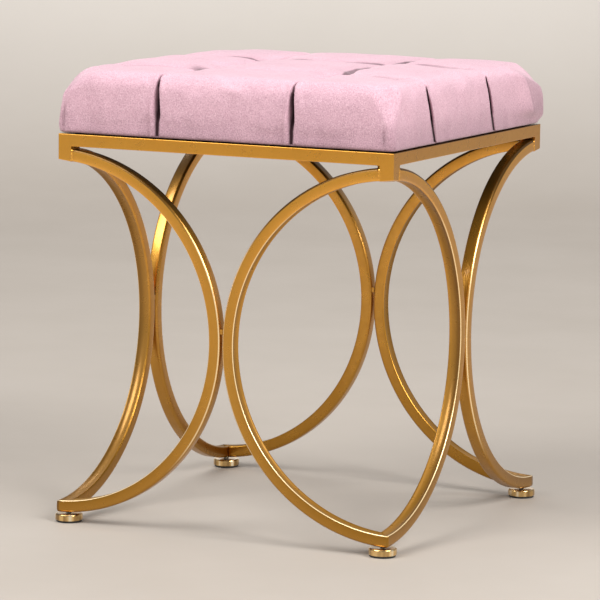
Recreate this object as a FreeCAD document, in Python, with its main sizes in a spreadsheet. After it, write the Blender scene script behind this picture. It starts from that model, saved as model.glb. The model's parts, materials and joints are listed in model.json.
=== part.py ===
import FreeCAD, Part
import math
import os
import Sketcher

# Square upholstered footstool: a gold-painted steel frame of bent square tube
# (two back-to-back half circles on each side, under a rail frame with corner
# posts), four screw-in levelling feet and a bolted-on tufted velvet seat.
# Millimetres, +Z up, origin on the floor under the middle of the seat,
# front face towards -Y.

V = FreeCAD.Vector
doc = FreeCAD.newDocument("footstool")

# ------------------------------------------------------------------ dimensions
TABLE = [
    # frame
    ("frame_width", 400.0),        # outside of the rails, both ways
    ("tube_high", 13.5),           # tube section in the plane of a side
    ("tube_deep", 15.0),           # tube section across a side
    ("tube_wall", 1.2),
    ("tube_corner", 2.0),          # outer corner radius of the tube
    ("tube_inner_corner", 0.8),
    ("rail_corner", 0.8),          # the rails and posts have tighter corners
    ("rail_top", 429.0),
    ("post_side", 16.0),
    ("post_bottom", 399.0),
    ("post_slope", 2.0),           # rise of a post's underside to its outer corner
    ("arc_outer_radius", 201.5),
    ("arc_centre_out", 2.6),       # circle centre beyond the outer corner
    ("arc_centre_height", 212.2),
    ("arc_hollow", 1.8),          # sag of the inner side where the tube was bent
    ("bead_up", 14.0),             # the weld sits this far above the narrowest place
    ("bead_half_height", 2.7),
    ("bead_depth", 11.5),
    ("crotch_length", 3.6),
    ("crotch_depth", 12.6),
    # levelling feet
    ("foot_inset", 9.8),           # foot axis from the outer faces
    ("foot_radius", 15.3),
    ("foot_round", 1.8),
    ("foot_top", 9.5),
    ("cup_bottom", 2.2),
    ("cup_edge", 0.5),
    ("pad_radius", 14.15),
    ("pad_top", 5.2),
    ("pad_chamfer", 0.7),
    ("pad_play", 0.05),
    ("pad_end_play", 0.1),
    ("stud_radius", 3.0),          # M6
    ("stud_top", 19.9),
    ("stud_chamfer", 0.8),
    ("stud_play", 0.05),
    ("insert_radius", 3.95),
    ("insert_bottom", 11.5),
    ("insert_top", 20.8),
    ("insert_hole_radius", 4.0),
    # seat fixing
    ("tab_thick", 3.0),
    ("tab_leg", 45.0),
    ("bolt_inset", 32.0),          # bolt axis from the outer faces
    ("bolt_radius", 2.95),         # M6
    ("bolt_length", 16.0),
    ("bolt_head_flats", 10.0),
    ("bolt_head_high", 4.2),
    ("bolt_hole_radius", 3.3),
    ("washer_radius", 6.0),
    ("washer_hole_radius", 3.2),
    ("washer_thick", 1.6),
    ("nut_flange_radius", 9.5),
    ("nut_flange_thick", 1.5),
    ("nut_barrel_radius", 3.9),
    ("nut_bore_radius", 3.05),
    ("nut_length", 10.0),
    ("nut_hole_radius", 4.0),
    ("nut_seat_radius", 9.8),
    # seat
    ("dust_thick", 1.0),
    ("dust_half", 190.0),
    ("cover_thick", 1.5),
    ("cover_half", 199.4),
    ("cover_top", 500.0),
    ("cover_corner", 15.0),
    ("cover_edge", 12.0),
    ("wrap_open_half", 150.0),
    ("board_thick", 12.0),
    ("board_half", 197.4),
    ("board_corner", 14.0),
    ("foam_high", 47.0),
    ("foam_half", 196.4),
    ("foam_edge", 4.0),
    ("wadding_thick", 7.6),
    ("wadding_half", 184.0),
    ("tuft_spacing", 80.0),        # half the distance between tufts, both ways
    ("tuft_forward", 14.0),        # the tuft square lies this far to the front
    ("tuft_hole_radius", 3.0),
    ("twine_radius", 1.0),
    ("twine_top", 474.0),
    ("tuft_disc_radius", 9.0),
    ("staple_line", 178.0),
    ("staple_crown", 11.4),
    ("staple_wire", 0.7),
    ("staple_width", 1.2),
    ("staple_leg", 7.6),
    ("staple_pitch", 50.0),
]
sheet = doc.addObject("Spreadsheet::Sheet", "Sheet")
for row, (alias, value) in enumerate(TABLE, 1):
    sheet.set("A%d" % row, alias)
    sheet.set("B%d" % row, repr(value))
    sheet.setAlias("B%d" % row, alias)
doc.recompute()


class Dim:
    """A driving dimension or a sum of them: its value and its cell expression."""

    def __init__(self, value, text):
        self.value, self.text = value, text

    def __add__(self, other):
        other = dim(other)
        return Dim(self.value + other.value, "(%s + %s)" % (self.text, other.text))

    __radd__ = __add__

    def __sub__(self, other):
        other = dim(other)
        return Dim(self.value - other.value, "(%s - %s)" % (self.text, other.text))

    def __rsub__(self, other):
        return dim(other) - self

    def __mul__(self, other):
        other = dim(other)
        return Dim(self.value * other.value, "(%s * %s)" % (self.text, other.text))

    __rmul__ = __mul__

    def __truediv__(self, other):
        other = dim(other)
        return Dim(self.value / other.value, "(%s / %s)" % (self.text, other.text))

    def __neg__(self):
        return Dim(-self.value, "(0 - %s)" % self.text)

    def root(self):
        return Dim(math.sqrt(self.value), "sqrt(%s)" % self.text)


def dim(x):
    if isinstance(x, Dim):
        return x
    if isinstance(x, str):
        return Dim(float(sheet.get(x)), "Sheet.%s" % x)
    return Dim(float(x), "%.6f" % x)


def bind(target, prop, value):
    target.setExpression(prop, dim(value).text)


# --------------------------------------------------------------- sketch helpers
def origin_of(body, role):
    return next(o for o in body.Origin.OriginFeatures if o.Role == role)


def new_body(label):
    body = doc.addObject("PartDesign::Body", label)
    body.Label = label
    body.AllowCompound = True
    return body


def new_sketch(body, name, plane="XY_Plane", offset=0):
    sk = body.newObject("Sketcher::SketchObject", name)
    sk.AttachmentSupport = [(origin_of(body, plane), "")]
    sk.MapMode = "FlatFace"
    offset = dim(offset)
    sk.AttachmentOffset = FreeCAD.Placement(V(0, 0, offset.value), FreeCAD.Rotation())
    if abs(offset.value) > 1e-9:
        bind(sk, "AttachmentOffset.Base.z", offset)
    return sk


def hold(sk, geo, pos, x, y):
    """Fixes one point of the sketch by its two coordinates."""
    for axis, line, value in (("X", -2, dim(x)), ("Y", -1, dim(y))):
        if abs(value.value) < 1e-9:
            sk.addConstraint(Sketcher.Constraint("PointOnObject", geo, pos, line))
        elif value.value > 0:
            i = sk.addConstraint(
                Sketcher.Constraint("Distance" + axis, -1, 1, geo, pos, value.value)
            )
            sk.setExpression("Constraints[%d]" % i, value.text)
        else:
            i = sk.addConstraint(
                Sketcher.Constraint("Distance" + axis, geo, pos, -1, 1, -value.value)
            )
            sk.setExpression("Constraints[%d]" % i, (-value).text)


def vec(p):
    return V(dim(p[0]).value, dim(p[1]).value, 0)


def outline(sk, points, bulges=None):
    """A closed outline through points. bulges[i] = (middle point, radius) makes
    the side from point i to point i + 1 an arc."""
    bulges = bulges or {}
    n = len(points)
    ids = []
    for i in range(n):
        a, b = vec(points[i]), vec(points[(i + 1) % n])
        if i in bulges:
            ids.append(sk.addGeometry(Part.Arc(a, vec(bulges[i][0]), b)))
        else:
            ids.append(sk.addGeometry(Part.LineSegment(a, b)))

    def end_at(geo, p):
        return min((1, 2), key=lambda pos: (sk.getPoint(geo, pos) - p).Length)

    for i in range(n):
        p = vec(points[i])
        here, before = ids[i], ids[i - 1]
        sk.addConstraint(
            Sketcher.Constraint(
                "Coincident", before, end_at(before, p), here, end_at(here, p)
            )
        )
    for i in range(n):
        hold(sk, ids[i], end_at(ids[i], vec(points[i])), *points[i])
    for i, (_, radius) in bulges.items():
        if radius is not None:
            c = sk.addConstraint(
                Sketcher.Constraint("Radius", ids[i], dim(radius).value)
            )
            sk.setExpression("Constraints[%d]" % c, dim(radius).text)


def box_outline(sk, x0, x1, y0, y1):
    outline(sk, [(x0, y0), (x1, y0), (x1, y1), (x0, y1)])


def circle(sk, x, y, radius):
    geo = sk.addGeometry(
        Part.Circle(V(dim(x).value, dim(y).value, 0), V(0, 0, 1), dim(radius).value)
    )
    hold(sk, geo, 3, x, y)
    c = sk.addConstraint(Sketcher.Constraint("Radius", geo, dim(radius).value))
    sk.setExpression("Constraints[%d]" % c, dim(radius).text)


# ------------------------------------------------------------- feature helpers
def symmetric(feature):
    if "SideType" in feature.PropertiesList:
        feature.SideType = "Symmetric"
    else:
        feature.Midplane = True


def pad(body, sk, length, both=False, reverse=False):
    f = body.newObject("PartDesign::Pad", sk.Name + "_pad")
    f.Profile = sk
    f.Length = dim(length).value
    bind(f, "Length", length)
    if both:
        symmetric(f)
    f.Reversed = reverse
    doc.recompute()
    return f


def cut(body, sk, length=None, both=False, reverse=False):
    before = body.Shape.Volume
    f = body.newObject("PartDesign::Pocket", sk.Name + "_cut")
    f.Profile = sk
    if length is None:
        f.Type = "ThroughAll"
    else:
        f.Length = dim(length).value
        bind(f, "Length", length)
    if both:
        symmetric(f)
    f.Reversed = reverse
    doc.recompute()
    if not body.Shape.Volume < before - 1e-3:
        raise RuntimeError("%s: the cut %s removes nothing" % (body.Label, f.Name))
    return f


def turned(body, sk, angle=360.0, both=False, groove=False):
    kind = "Groove" if groove else "Revolution"
    before = body.Shape.Volume if groove else 0.0
    f = body.newObject("PartDesign::" + kind, sk.Name + "_turn")
    f.Profile = sk
    f.ReferenceAxis = (sk, ["V_Axis"])
    f.Angle = angle
    if both:
        f.Midplane = True
    doc.recompute()
    if groove and not body.Shape.Volume < before - 1e-3:
        raise RuntimeError("%s: the groove %s removes nothing" % (body.Label, f.Name))
    return f


def rounded(body, base, test, radius, name):
    names = [
        "Edge%d" % (i + 1) for i, e in enumerate(base.Shape.Edges) if test(e)
    ]
    if not names:
        raise RuntimeError("%s: no edge to round for %s" % (body.Label, name))
    f = body.newObject("PartDesign::Fillet", name)
    f.Base = (base, names)
    f.Radius = dim(radius).value
    bind(f, "Radius", radius)
    doc.recompute()
    return f


def four_round(body, features):
    f = body.newObject("PartDesign::PolarPattern", body.Name + "_four")
    f.Originals = features
    f.Axis = (origin_of(body, "Z_Axis"), [""])
    f.Angle = 360
    f.Occurrences = 4
    body.Tip = f
    doc.recompute()
    return f


def mid(e):
    return e.valueAt((e.FirstParameter + e.LastParameter) / 2)


def straight(e):
    return e.Curve.TypeId == "Part::GeomLine"


def spread(e, axis):
    b = e.BoundBox
    return {"x": b.XLength, "y": b.YLength, "z": b.ZLength}[axis]


def turn_place(body, quarter, x, y, z):
    """Turns a body by quarters about the vertical and sets its corner point."""
    x, y, z = dim(x), dim(y), dim(z)
    for _ in range(quarter):
        x, y = -y, x
    body.Placement = FreeCAD.Placement(
        V(x.value, y.value, z.value), FreeCAD.Rotation(V(0, 0, 1), 90.0 * quarter)
    )
    for key, value in (("x", x), ("y", y), ("z", z)):
        if abs(value.value) > 1e-9:
            bind(body, "Placement.Base." + key, value)


nodes = []  # every sub-part, in the order it is written

half = dim("frame_width") / 2
SIDES = ["front", "right", "back", "left"]
CORNERS = ["fl", "fr", "br", "bl"]
rail_bottom = dim("rail_top") - dim("tube_high")

# ------------------------------------------------------------------ rail frame
for k, side in enumerate(SIDES):
    body = new_body("rail_" + side)
    sk = new_sketch(body, "rail_section_" + side, "YZ_Plane")
    box_outline(sk, -half, -(half - dim("tube_deep")), rail_bottom, "rail_top")
    wall = dim("tube_wall")
    box_outline(
        sk,
        -(half - wall),
        -(half - dim("tube_deep") + wall),
        rail_bottom + wall,
        dim("rail_top") - wall,
    )
    tube = pad(body, sk, (half - dim("post_side")) * 2, both=True)
    y_out, y_in = -half.value, -(half - dim("tube_deep")).value
    z_lo, z_hi = rail_bottom.value, dim("rail_top").value

    def outer_long(e):
        p = mid(e)
        return (
            straight(e)
            and spread(e, "x") > 100
            and min(abs(p.y - y_out), abs(p.y - y_in)) < 1e-4
            and min(abs(p.z - z_lo), abs(p.z - z_hi)) < 1e-4
        )

    def inner_long(e):
        p = mid(e)
        return (
            straight(e)
            and spread(e, "x") > 100
            and min(abs(p.y - y_out), abs(p.y - y_in)) > 0.5
            and min(abs(p.z - z_lo), abs(p.z - z_hi)) > 0.5
        )

    tube = rounded(body, tube, outer_long, "rail_corner", "rail_round_" + side)
    rounded(body, tube, inner_long, "tube_inner_corner", "rail_inside_" + side)
    turn_place(body, k, 0, 0, 0)
    nodes.append(body)

# ---------------------------------------------------------------- corner posts
for k, corner in enumerate(CORNERS):
    body = new_body("corner_post_" + corner)
    drop = dim("post_slope")
    base = dim("post_bottom") - drop
    sk = new_sketch(body, "post_section_" + corner, "XY_Plane", base)
    side = dim("post_side")
    box_outline(sk, 0, side, 0, side)
    block = pad(body, sk, dim("rail_top") - base)

    # the underside rises to the outer corner, in line with the bent legs
    slope = new_sketch(body, "post_slope_" + corner, "XZ_Plane")
    slope.AttachmentOffset = FreeCAD.Placement(
        V(0, 0, 0), FreeCAD.Rotation(V(0, 1, 0), 45.0)
    )
    reach = side * math.sqrt(2.0)
    outline(
        slope,
        [
            (-(reach / 2), base - 5),
            (reach * 1.5, base - 5),
            (reach * 1.5, base - drop),
            (-(reach / 2), base + drop * 3),
        ],
    )
    block = cut(body, slope, both=True)

    def outside(e):
        p = mid(e)
        return min(p.x, p.y) < 1e-4 and max(p.x, p.y) < side.value - 1e-4 or (
            abs(p.x) < 1e-4 and abs(p.y) < 1e-4
        )

    rounded(body, block, outside, "rail_corner", "post_round_" + corner)
    turn_place(body, k, -half, -half, 0)
    nodes.append(body)

# ------------------------------------------------------------- half-circle legs
r_out = dim("arc_outer_radius")
r_in = r_out - dim("tube_high")
out = dim("arc_centre_out")
centre_z = dim("arc_centre_height")
deep, corner_r, wall = dim("tube_deep"), dim("tube_corner"), dim("tube_wall")
diag = corner_r.value * (1 - math.sqrt(0.5))


def leg(label, quarter, hand):
    """One bent tube. hand is 1 for the left one of a side, -1 for the right one.
    Local origin: the circle's centre, on the outer face."""
    body = new_body(label)
    s = float(hand)
    sk = new_sketch(body, label + "_section", "XY_Plane")
    a, b = s * r_in, s * r_out
    pts = [
        (s * (r_in + corner_r), 0),
        (s * (r_out - corner_r), 0),
        (b, corner_r),
        (b, deep - corner_r),
        (s * (r_out - corner_r), deep),
        (s * (r_in + corner_r), deep),
        (a, deep - corner_r),
        (a, corner_r),
    ]
    ro, ri, d = r_out.value, r_in.value, deep.value
    sag = dim("arc_hollow")
    chord = deep - 2 * corner_r
    hollow_radius = (chord * chord / 4 + sag * sag) / (2 * sag)
    bulges = {
        1: ((s * (ro - diag), diag), corner_r),
        3: ((s * (ro - diag), d - diag), corner_r),
        5: ((s * (ri + diag), d - diag), corner_r),
        6: ((s * (r_in + sag), deep / 2), hollow_radius),
        7: ((s * (ri + diag), diag), corner_r),
    }
    outline(sk, pts, bulges)
    turned(body, sk, 180.0, both=True)

    core = new_sketch(body, label + "_core", "XY_Plane")
    box_outline(
        core, s * (r_in + sag + wall), s * (r_out - wall), wall, deep - wall
    )
    turned(body, core, 184.0, both=True, groove=True)

    # upper end cut square where it is welded to the corner post
    top = new_sketch(body, label + "_top_end", "XZ_Plane")
    stop = out + dim("post_side")
    box_outline(top, -s * 30.0, s * stop, r_in - 60, r_out + 10)
    cut(body, top, both=True)

    # lower end mitred to the leg of the next side
    mitre = new_sketch(body, label + "_mitre", "XY_Plane")
    outline(
        mitre,
        [
            (-s * 40.0, -8.0),
            (s * (out - 8.0), -8.0),
            (s * (out + deep + 8.0), deep + 8.0),
            (-s * 40.0, deep + 8.0),
        ],
    )
    cut(body, mitre, r_out + 10)

    # hole for the threaded insert of the foot, in the lower wall only
    hole = new_sketch(body, label + "_foot_hole", "XY_Plane", -(r_out - wall * 3))
    inset = dim("foot_inset")
    circle(hole, s * (out + inset), inset, "insert_hole_radius")
    cut(body, hole, wall * 3 + 5)

    turn_place(
        body,
        quarter,
        -s * (half + out),
        -half,
        centre_z,
    )
    nodes.append(body)


for k, side in enumerate(SIDES):
    nxt = SIDES[(k + 1) % 4]
    prv = SIDES[(k - 1) % 4]
    leg("leg_%s_by_%s" % (side, prv), k, 1)
    leg("leg_%s_by_%s" % (side, nxt), k, -1)

# --------------------------------------------------------- welds that fill gaps
body = new_body("mid_welds")
sk = new_sketch(body, "mid_weld_outline", "XZ_Plane", half - deep / 2)
up = dim("bead_up")
low, high = up - dim("bead_half_height"), up + dim("bead_half_height")
gap, gap_low, gap_high = (
    half + out - (r_out * r_out - v * v).root() for v in (up, low, high)
)
outline(
    sk,
    [
        (gap_low, centre_z + low),
        (gap_high, centre_z + high),
        (-gap_high, centre_z + high),
        (-gap_low, centre_z + low),
    ],
    {0: ((gap, centre_z + up), r_out), 2: ((-gap, centre_z + up), r_out)},
)
bead = pad(body, sk, "bead_depth", both=True)
four_round(body, [bead])
nodes.append(body)

body = new_body("post_welds")
pair = []
for s in (1.0, -1.0):
    sk = new_sketch(
        body, "post_weld_%s" % ("a" if s > 0 else "b"), "XZ_Plane", half - deep / 2
    )
    x0 = half - dim("post_side")
    x1 = x0 - dim("crotch_length")
    u0 = half + out - x0
    u1 = half + out - x1
    u2 = (u0 + u1) / 2
    z0 = centre_z + (r_out * r_out - u0 * u0).root()
    z1 = centre_z + (r_out * r_out - u1 * u1).root()
    z2 = centre_z + (r_out * r_out - u2 * u2).root()
    tall = (rail_bottom - z1).value
    outline(
        sk,
        [(s * x0, z0), (s * x1, z1), (s * x1, rail_bottom), (s * x0, rail_bottom)],
        {
            0: ((s * (x0 + x1) / 2, z2), r_out),
            1: ((s * (x1 + 0.9), z1 + tall / 2), None),
        },
    )
    pair.append(pad(body, sk, "crotch_depth", both=True))
four_round(body, pair)
nodes.append(body)

# ------------------------------------------------------------- levelling feet
for k, corner in enumerate(CORNERS):
    axis = half - dim("foot_inset")

    # moulded sole, snapped into the cup and free to turn in it
    body = new_body("foot_pad_" + corner)
    sk = new_sketch(body, "foot_pad_section_" + corner, "XZ_Plane")
    ch = dim("pad_chamfer")
    pr = dim("pad_radius")
    outline(
        sk,
        [
            (0, 0),
            (pr - ch, 0),
            (pr, ch),
            (pr, dim("pad_top")),
            (0, dim("pad_top")),
        ],
    )
    turned(body, sk)
    turn_place(body, k, -axis, -axis, 0)
    nodes.append(body)

    # turned steel cup
    body = new_body("foot_cup_" + corner)
    sk = new_sketch(body, "foot_cup_section_" + corner, "XZ_Plane")
    fr, rr, edge = dim("foot_radius"), dim("foot_round"), dim("cup_edge")
    recess = pr + dim("pad_play")
    ceiling = dim("pad_top") + dim("pad_end_play")
    lo, hi, stem = dim("cup_bottom"), dim("foot_top"), dim("stud_radius")
    slope = rr.value * (1 - math.sqrt(0.5))
    outline(
        sk,
        [
            (stem, ceiling),
            (recess, ceiling),
            (recess, lo),
            (fr - edge, lo),
            (fr, lo + edge),
            (fr, hi - rr),
            (fr - rr, hi),
            (stem, hi),
        ],
        {5: ((fr.value - slope, hi.value - slope), rr)},
    )
    turned(body, sk)
    turn_place(body, k, -axis, -axis, 0)
    nodes.append(body)

    # screw, riveted into the cup
    body = new_body("foot_stud_" + corner)
    sk = new_sketch(body, "foot_stud_section_" + corner, "XZ_Plane")
    sc, top = dim("stud_chamfer"), dim("stud_top")
    outline(
        sk,
        [(0, ceiling), (stem, ceiling), (stem, top - sc), (stem - sc, top), (0, top)],
    )
    turned(body, sk)
    turn_place(body, k, -axis, -axis, 0)
    nodes.append(body)

# threaded inserts, pressed into the mitred corners
body = new_body("foot_inserts")
sk = new_sketch(body, "foot_insert_section", "XY_Plane", "insert_bottom")
axis = half - dim("foot_inset")
circle(sk, -axis, -axis, "insert_radius")
circle(sk, -axis, -axis, dim("stud_radius") + dim("stud_play"))
ring = pad(body, sk, dim("insert_top") - dim("insert_bottom"))
four_round(body, [ring])
nodes.append(body)

# ------------------------------------------------------- seat fixing hardware
rail_top = dim("rail_top")
bolt_at = half - dim("bolt_inset")
tab_bottom = rail_top - dim("tab_thick")
body = new_body("seat_tabs")
sk = new_sketch(body, "seat_tab_outline", "XY_Plane", tab_bottom)
e_rail = half - deep
e_post = half - dim("post_side")
e_leg = e_rail - dim("tab_leg")
outline(
    sk,
    [
        (-e_rail, -e_leg),
        (-e_rail, -e_post),
        (-e_post, -e_post),
        (-e_post, -e_rail),
        (-e_leg, -e_rail),
    ],
)
circle(sk, -bolt_at, -bolt_at, "bolt_hole_radius")
plate = pad(body, sk, "tab_thick")
four_round(body, [plate])
nodes.append(body)

body = new_body("seat_washers")
washer_bottom = tab_bottom - dim("washer_thick")
sk = new_sketch(body, "seat_washer_outline", "XY_Plane", washer_bottom)
circle(sk, -bolt_at, -bolt_at, "washer_radius")
circle(sk, -bolt_at, -bolt_at, "washer_hole_radius")
ring = pad(body, sk, "washer_thick")
four_round(body, [ring])
nodes.append(body)

body = new_body("seat_bolts")
sk = new_sketch(
    body, "seat_bolt_head", "XY_Plane", washer_bottom - dim("bolt_head_high")
)
reach = dim("bolt_head_flats") / math.sqrt(3.0)
outline(
    sk,
    [
        (
            -bolt_at + reach * math.cos(math.radians(60 * i)),
            -bolt_at + reach * math.sin(math.radians(60 * i)),
        )
        for i in range(6)
    ],
)
head = pad(body, sk, "bolt_head_high")
sk = new_sketch(body, "seat_bolt_shank", "XY_Plane", washer_bottom)
circle(sk, -bolt_at, -bolt_at, "bolt_radius")
shank = pad(body, sk, "bolt_length")
four_round(body, [head, shank])
nodes.append(body)

# ------------------------------------------------------------------------ seat
wrap_bottom = rail_top + dim("dust_thick")
board_bottom = wrap_bottom + dim("cover_thick")
board_top = board_bottom + dim("board_thick")
tuft = dim("tuft_spacing")


def rounded_slab(label, half_side, bottom, thick, corner, name="outline"):
    body = new_body(label)
    sk = new_sketch(body, label + "_" + name, "XY_Plane", bottom)
    h = dim(half_side)
    c = dim(corner)
    q = c.value * (1 - math.sqrt(0.5))
    hv = h.value
    pts, bulges = [], {}
    for i, (sx, sy) in enumerate(((1, -1), (1, 1), (-1, 1), (-1, -1))):
        first = (sx * (h - c), sy * h) if sx * sy < 0 else (sx * h, sy * (h - c))
        second = (sx * h, sy * (h - c)) if sx * sy < 0 else (sx * (h - c), sy * h)
        pts += [first, second]
        bulges[2 * i] = ((sx * (hv - q), sy * (hv - q)), c)
    outline(sk, pts, bulges)
    return body, pad(body, sk, thick)


def at_each(sk, place, radius, forward=0):
    for sx in (1, -1):
        for sy in (1, -1):
            circle(sk, sx * place, sy * place - forward, radius)


def at_tufts(sk, radius):
    at_each(sk, tuft, radius, dim("tuft_forward"))


body, slab = rounded_slab(
    "dust_cover", "dust_half", rail_top, "dust_thick", "board_corner"
)
sk = new_sketch(body, "dust_cover_holes", "XY_Plane", wrap_bottom)
at_each(sk, bolt_at, "bolt_hole_radius")
cut(body, sk, "dust_thick")
nodes.append(body)

body, slab = rounded_slab(
    "seat_board", "board_half", board_bottom, "board_thick", "board_corner"
)
sk = new_sketch(body, "seat_board_holes", "XY_Plane", board_top)
at_each(sk, bolt_at, "nut_hole_radius")
cut(body, sk, "board_thick")
sk = new_sketch(body, "seat_board_nut_seats", "XY_Plane", board_top)
at_each(sk, bolt_at, "nut_seat_radius")
cut(body, sk, "nut_flange_thick")
sk = new_sketch(body, "seat_board_tuft_holes", "XY_Plane", board_top)
at_tufts(sk, "tuft_hole_radius")
cut(body, sk, "board_thick")
nodes.append(body)

body = new_body("seat_tee_nuts")
flange_bottom = board_top - dim("nut_flange_thick")
sk = new_sketch(body, "tee_nut_flange", "XY_Plane", flange_bottom)
circle(sk, -bolt_at, -bolt_at, "nut_flange_radius")
circle(sk, -bolt_at, -bolt_at, "nut_bore_radius")
flange = pad(body, sk, "nut_flange_thick")
sk = new_sketch(body, "tee_nut_barrel", "XY_Plane", flange_bottom)
circle(sk, -bolt_at, -bolt_at, "nut_barrel_radius")
circle(sk, -bolt_at, -bolt_at, "nut_bore_radius")
barrel = pad(
    body, sk, dim("nut_length") - dim("nut_flange_thick"), reverse=True
)
four_round(body, [flange, barrel])
nodes.append(body)

foam_top = board_top + dim("foam_high")
body, slab = rounded_slab(
    "seat_foam", "foam_half", board_top, "foam_high", "board_corner"
)
top_z = foam_top.value
slab = rounded(
    body,
    slab,
    lambda e: abs(mid(e).z - top_z) < 1e-4,
    "foam_edge",
    "seat_foam_edge",
)
sk = new_sketch(body, "seat_foam_tuft_holes", "XY_Plane", foam_top)
at_tufts(sk, "tuft_hole_radius")
cut(body, sk, "foam_high")
nodes.append(body)

body, slab = rounded_slab(
    "seat_wadding", "wadding_half", foam_top, "wadding_thick", "board_corner"
)
sk = new_sketch(
    body, "seat_wadding_tuft_holes", "XY_Plane", foam_top + dim("wadding_thick")
)
at_tufts(sk, "tuft_hole_radius")
cut(body, sk, "wadding_thick")
nodes.append(body)

# velvet cover: an outer form less an inner form, open underneath inside the
# turned-under margin, which is stapled to the board
cover_top, skin = dim("cover_top"), dim("cover_thick")
outer, slab = rounded_slab(
    "cover_outer", "cover_half", wrap_bottom, cover_top - wrap_bottom, "cover_corner"
)
outer_z = cover_top.value
rounded(
    outer,
    slab,
    lambda e: abs(mid(e).z - outer_z) < 1e-4,
    "cover_edge",
    "cover_outer_edge",
)
inner, slab = rounded_slab(
    "cover_inner",
    dim("cover_half") - skin,
    board_bottom,
    cover_top - skin - board_bottom,
    dim("cover_corner") - skin,
)
inner_z = (cover_top - skin).value
rounded(
    inner,
    slab,
    lambda e: abs(mid(e).z - inner_z) < 1e-4,
    dim("cover_edge") - skin,
    "cover_inner_edge",
)
opening = doc.addObject("Part::Box", "cover_opening")
open_half = dim("wrap_open_half")
for prop, value in (
    ("Length", open_half * 2),
    ("Width", open_half * 2),
    ("Height", skin * 3),
    ("Placement.Base.x", -open_half),
    ("Placement.Base.y", -open_half),
    ("Placement.Base.z", wrap_bottom - skin),
):
    bind(opening, prop, value)
holes = new_body("cover_bolt_holes")
sk = new_sketch(holes, "cover_bolt_hole_outline", "XY_Plane", wrap_bottom - skin)
at_each(sk, bolt_at, "bolt_hole_radius")
pad(holes, sk, skin * 2.5)
shell = doc.addObject("Part::Cut", "cover_shell")
shell.Base, shell.Tool = outer, inner
wrap = doc.addObject("Part::Cut", "cover_wrap")
wrap.Base, wrap.Tool = shell, opening
cover = doc.addObject("Part::Cut", "seat_cover")
cover.Base, cover.Tool = wrap, holes
cover.Label = "seat_cover"
doc.recompute()
nodes.append(cover)

# ties that pull the cover down at the tufts, and the discs that anchor them
body = new_body("tuft_twine")
sk = new_sketch(body, "tuft_twine_outline", "XY_Plane", wrap_bottom)
at_tufts(sk, "twine_radius")
pad(body, sk, dim("twine_top") - wrap_bottom)
nodes.append(body)

body = new_body("tuft_discs")
sk = new_sketch(body, "tuft_disc_outline", "XY_Plane", wrap_bottom)
at_tufts(sk, "tuft_disc_radius")
pad(body, sk, skin)
sk = new_sketch(body, "tuft_disc_holes", "XY_Plane", board_bottom)
at_tufts(sk, "twine_radius")
cut(body, sk, skin)
nodes.append(body)

# staples through the dust cover and the cover's margin into the board
body = new_body("staples")
line = dim("staple_line")
sk = new_sketch(body, "staple_outline", "XZ_Plane", line)
crown, wire = dim("staple_crown") / 2, dim("staple_wire")
lower = rail_top - wire
tip = rail_top + dim("staple_leg")
for i in range(6):
    c = dim("staple_pitch") * (i - 2.5)
    outline(
        sk,
        [
            (c - crown, lower),
            (c + crown, lower),
            (c + crown, tip),
            (c + crown - wire, tip),
            (c + crown - wire, rail_top),
            (c - crown + wire, rail_top),
            (c - crown + wire, tip),
            (c - crown, tip),
        ],
    )
row = pad(body, sk, "staple_width", both=True)
four_round(body, [row])
nodes.append(body)

# ---------------------------------------------------------- checks and writing
doc.recompute()
for obj in doc.Objects:
    if "Invalid" in obj.State or "Error" in obj.State:
        raise RuntimeError("%s is %s" % (obj.Name, obj.State))
labels = [n.Label for n in nodes]
if len(set(labels)) != len(labels):
    raise RuntimeError("two sub-parts share a name")
for n in nodes:
    if n.Shape.isNull() or not n.Shape.isValid() or not n.Shape.Solids:
        raise RuntimeError("%s has no valid solid" % n.Label)
os.makedirs("parts", exist_ok=True)
for name in os.listdir("parts"):
    if name.endswith(".step") and name[:-5] not in labels:
        os.remove(os.path.join("parts", name))
for n in nodes:
    n.Shape.exportStep("parts/%s.step" % n.Label)
    b = n.Shape.BoundBox
    print(
        "%-24s solids %2d  volume %10.1f  x %.2f..%.2f  y %.2f..%.2f  z %.2f..%.2f"
        % (
            n.Label,
            len(n.Shape.Solids),
            n.Shape.Volume,
            b.XMin,
            b.XMax,
            b.YMin,
            b.YMax,
            b.ZMin,
            b.ZMax,
        )
    )
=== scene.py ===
import json
import math

import bpy
import numpy as np
from mathutils import Matrix, Vector, noise


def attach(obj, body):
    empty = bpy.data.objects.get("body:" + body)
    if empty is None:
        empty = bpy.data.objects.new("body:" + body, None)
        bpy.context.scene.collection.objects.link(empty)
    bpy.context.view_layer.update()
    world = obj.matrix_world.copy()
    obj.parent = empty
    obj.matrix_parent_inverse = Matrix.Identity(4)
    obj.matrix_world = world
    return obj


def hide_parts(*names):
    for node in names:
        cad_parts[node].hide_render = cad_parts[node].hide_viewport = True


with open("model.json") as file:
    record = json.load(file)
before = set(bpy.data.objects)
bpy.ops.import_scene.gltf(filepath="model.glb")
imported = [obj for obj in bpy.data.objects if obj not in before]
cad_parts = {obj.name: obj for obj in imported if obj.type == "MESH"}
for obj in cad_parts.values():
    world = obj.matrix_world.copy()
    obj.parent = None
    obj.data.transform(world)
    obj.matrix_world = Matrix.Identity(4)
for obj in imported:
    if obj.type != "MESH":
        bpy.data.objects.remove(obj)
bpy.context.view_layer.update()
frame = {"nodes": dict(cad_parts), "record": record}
nodes = frame["nodes"]

MM = 0.001


# ------------------------------------------------------------------- materials
def new_material(name):
    m = bpy.data.materials.new(name)
    m.use_nodes = True
    t = m.node_tree
    t.nodes.clear()
    out = t.nodes.new("ShaderNodeOutputMaterial")
    bsdf = t.nodes.new("ShaderNodeBsdfPrincipled")
    t.links.new(bsdf.outputs["BSDF"], out.inputs["Surface"])
    return m, t, bsdf


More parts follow.
